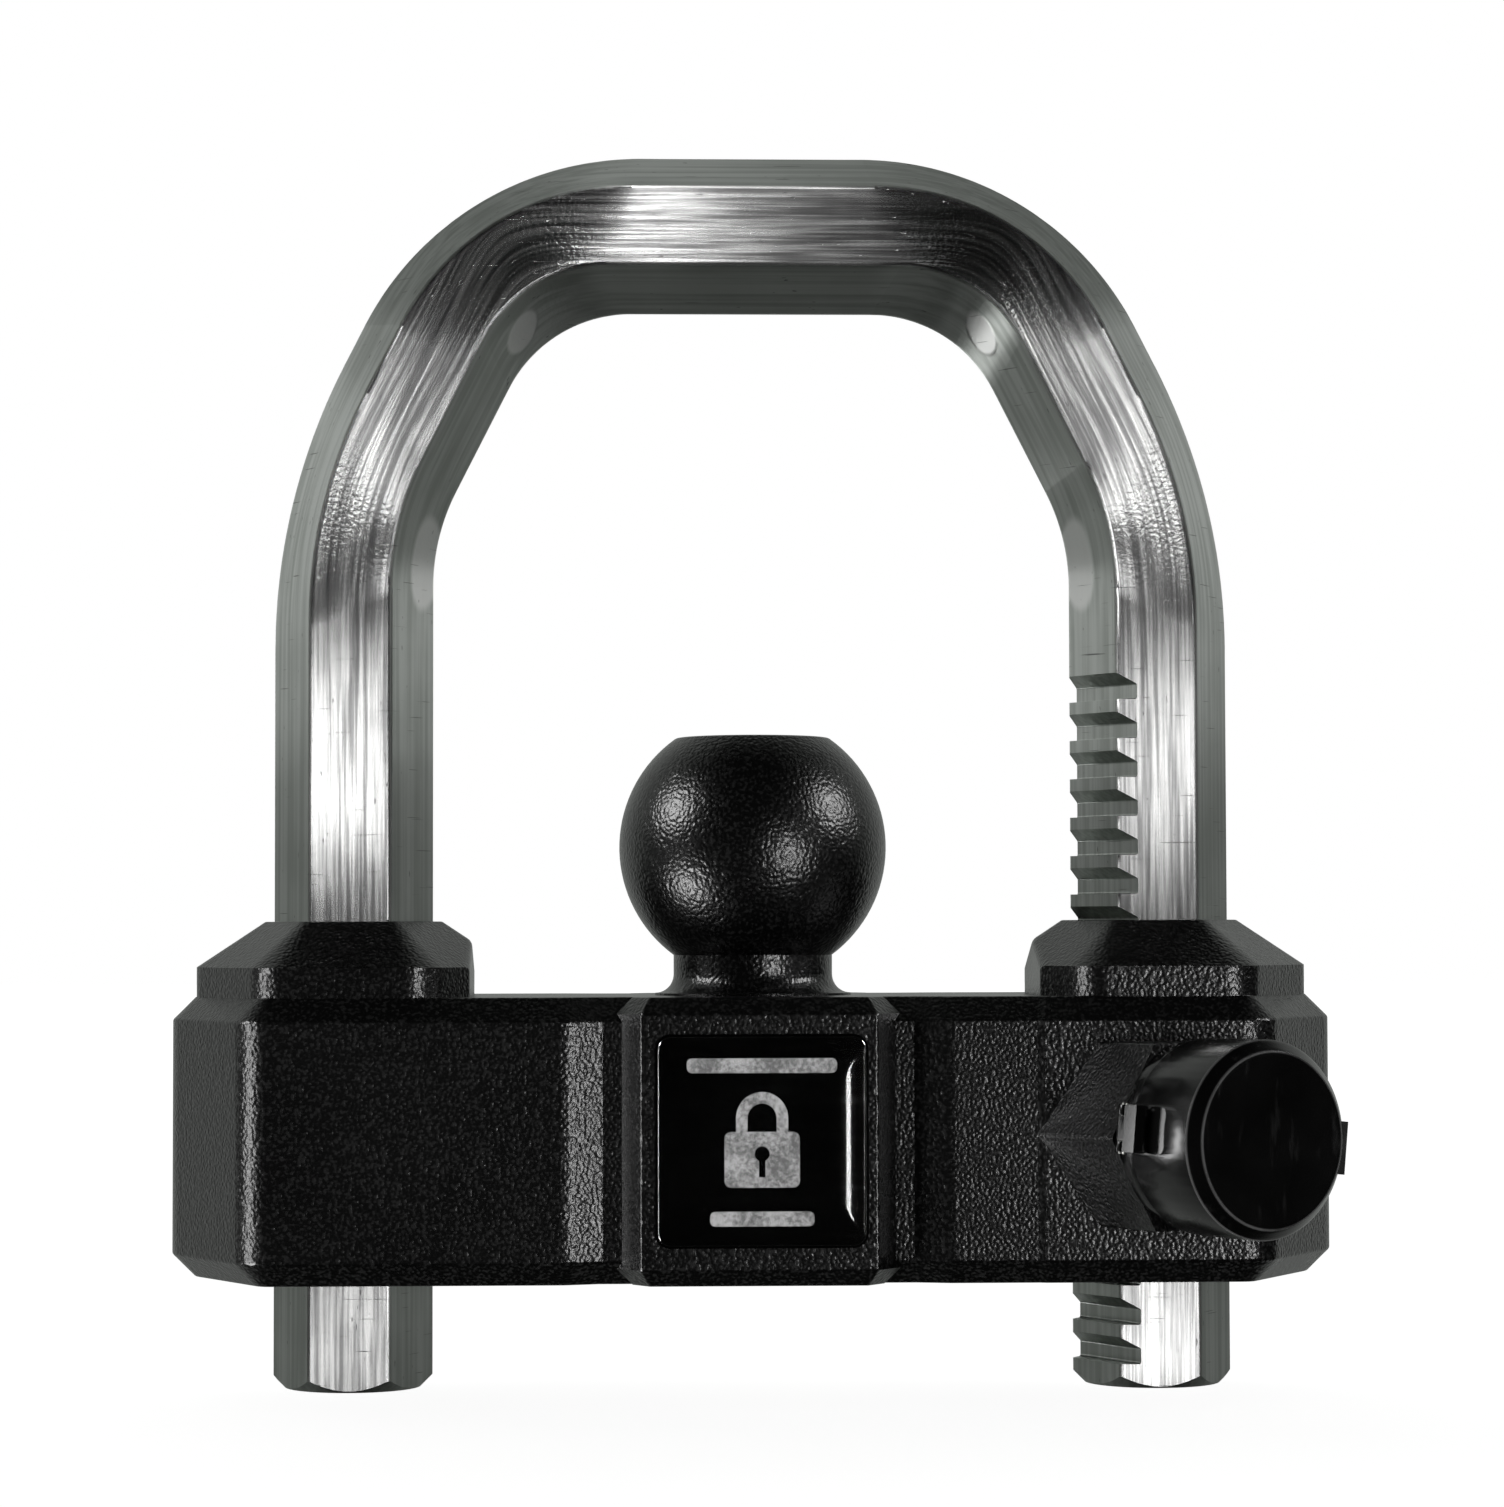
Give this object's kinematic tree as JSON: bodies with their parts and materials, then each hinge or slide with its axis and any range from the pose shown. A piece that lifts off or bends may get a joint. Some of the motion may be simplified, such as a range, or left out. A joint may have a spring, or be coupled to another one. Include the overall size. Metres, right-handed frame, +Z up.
{
  "type": "trailer coupler lock",
  "caption": "Black steel lock body with a tow ball and a hexagonal-bar shackle that closes over a trailer coupler, with a hinged dust cap over its keyway.",
  "frame": {"origin": "centre of the tow ball, midway between the shackle's two legs", "axes": "+X to the right seen from the label side, +Y to the back, +Z up along the shackle's travel"},
  "size_m": [0.2076, 0.0946, 0.2209],
  "materials": {
    "black_powder_coat": "satin",
    "brushed_stainless": "brushed",
    "zinc_plated_steel": "satin",
    "hardened_steel": "ground",
    "lock_brass": "satin",
    "seal_rubber": "matt",
    "black_plastic": "semi-gloss",
    "label_foil": "satin",
    "label_silver": "satin",
    "clear_resin": "clear gloss"
  },
  "bodies": {
    "body": {"lock_body": "black_powder_coat", "tow_ball": "black_powder_coat", "ball_screw": "zinc_plated_steel", "ball_washer": "zinc_plated_steel", "cylinder_shell": "lock_brass", "shell_pin": "zinc_plated_steel", "shell_seal": "seal_rubber", "cap_ring": "black_plastic", "hinge_pin": "zinc_plated_steel", "pawl_spring": "zinc_plated_steel", "label_foil": "label_foil", "label_print": "label_silver", "label_dome": "clear_resin"},
    "shackle": {"shackle": "brushed_stainless"},
    "plug": {"lock_plug": "lock_brass", "wafers": "lock_brass", "plug_clip": "zinc_plated_steel", "tail_cam": "zinc_plated_steel"},
    "pawl": {"pawl": "hardened_steel"},
    "cap": {"dust_cap": "black_plastic"}
  },
  "joints": [
    {"name": "shackle_slide", "type": "slide", "parent": "body", "child": "shackle", "axis": [0, 0, 1], "range_m": [-0.05544, 0.11088]},
    {"name": "plug_turn", "type": "hinge", "parent": "body", "child": "plug", "pos_m": [0.0697, -0.0292, -0.0503], "axis": [-0.5, 0.866, 0], "range_deg": [0, 90]},
    {"name": "pawl_slide", "type": "slide", "parent": "body", "child": "pawl", "axis": [-0.866, -0.5, 0], "range_m": [0, 0.00326], "deforming": ["pawl_spring"]},
    {"name": "cap_hinge", "type": "hinge", "parent": "body", "child": "cap", "pos_m": [0.06073, -0.04847, -0.04847], "axis": [-0.0905, -0.0523, -0.9945], "range_deg": [0, 110]}
  ],
  "couplings": [
    {"joint": "pawl_slide", "follows": "plug_turn", "m_per_rad": 0.002069}
  ]
}
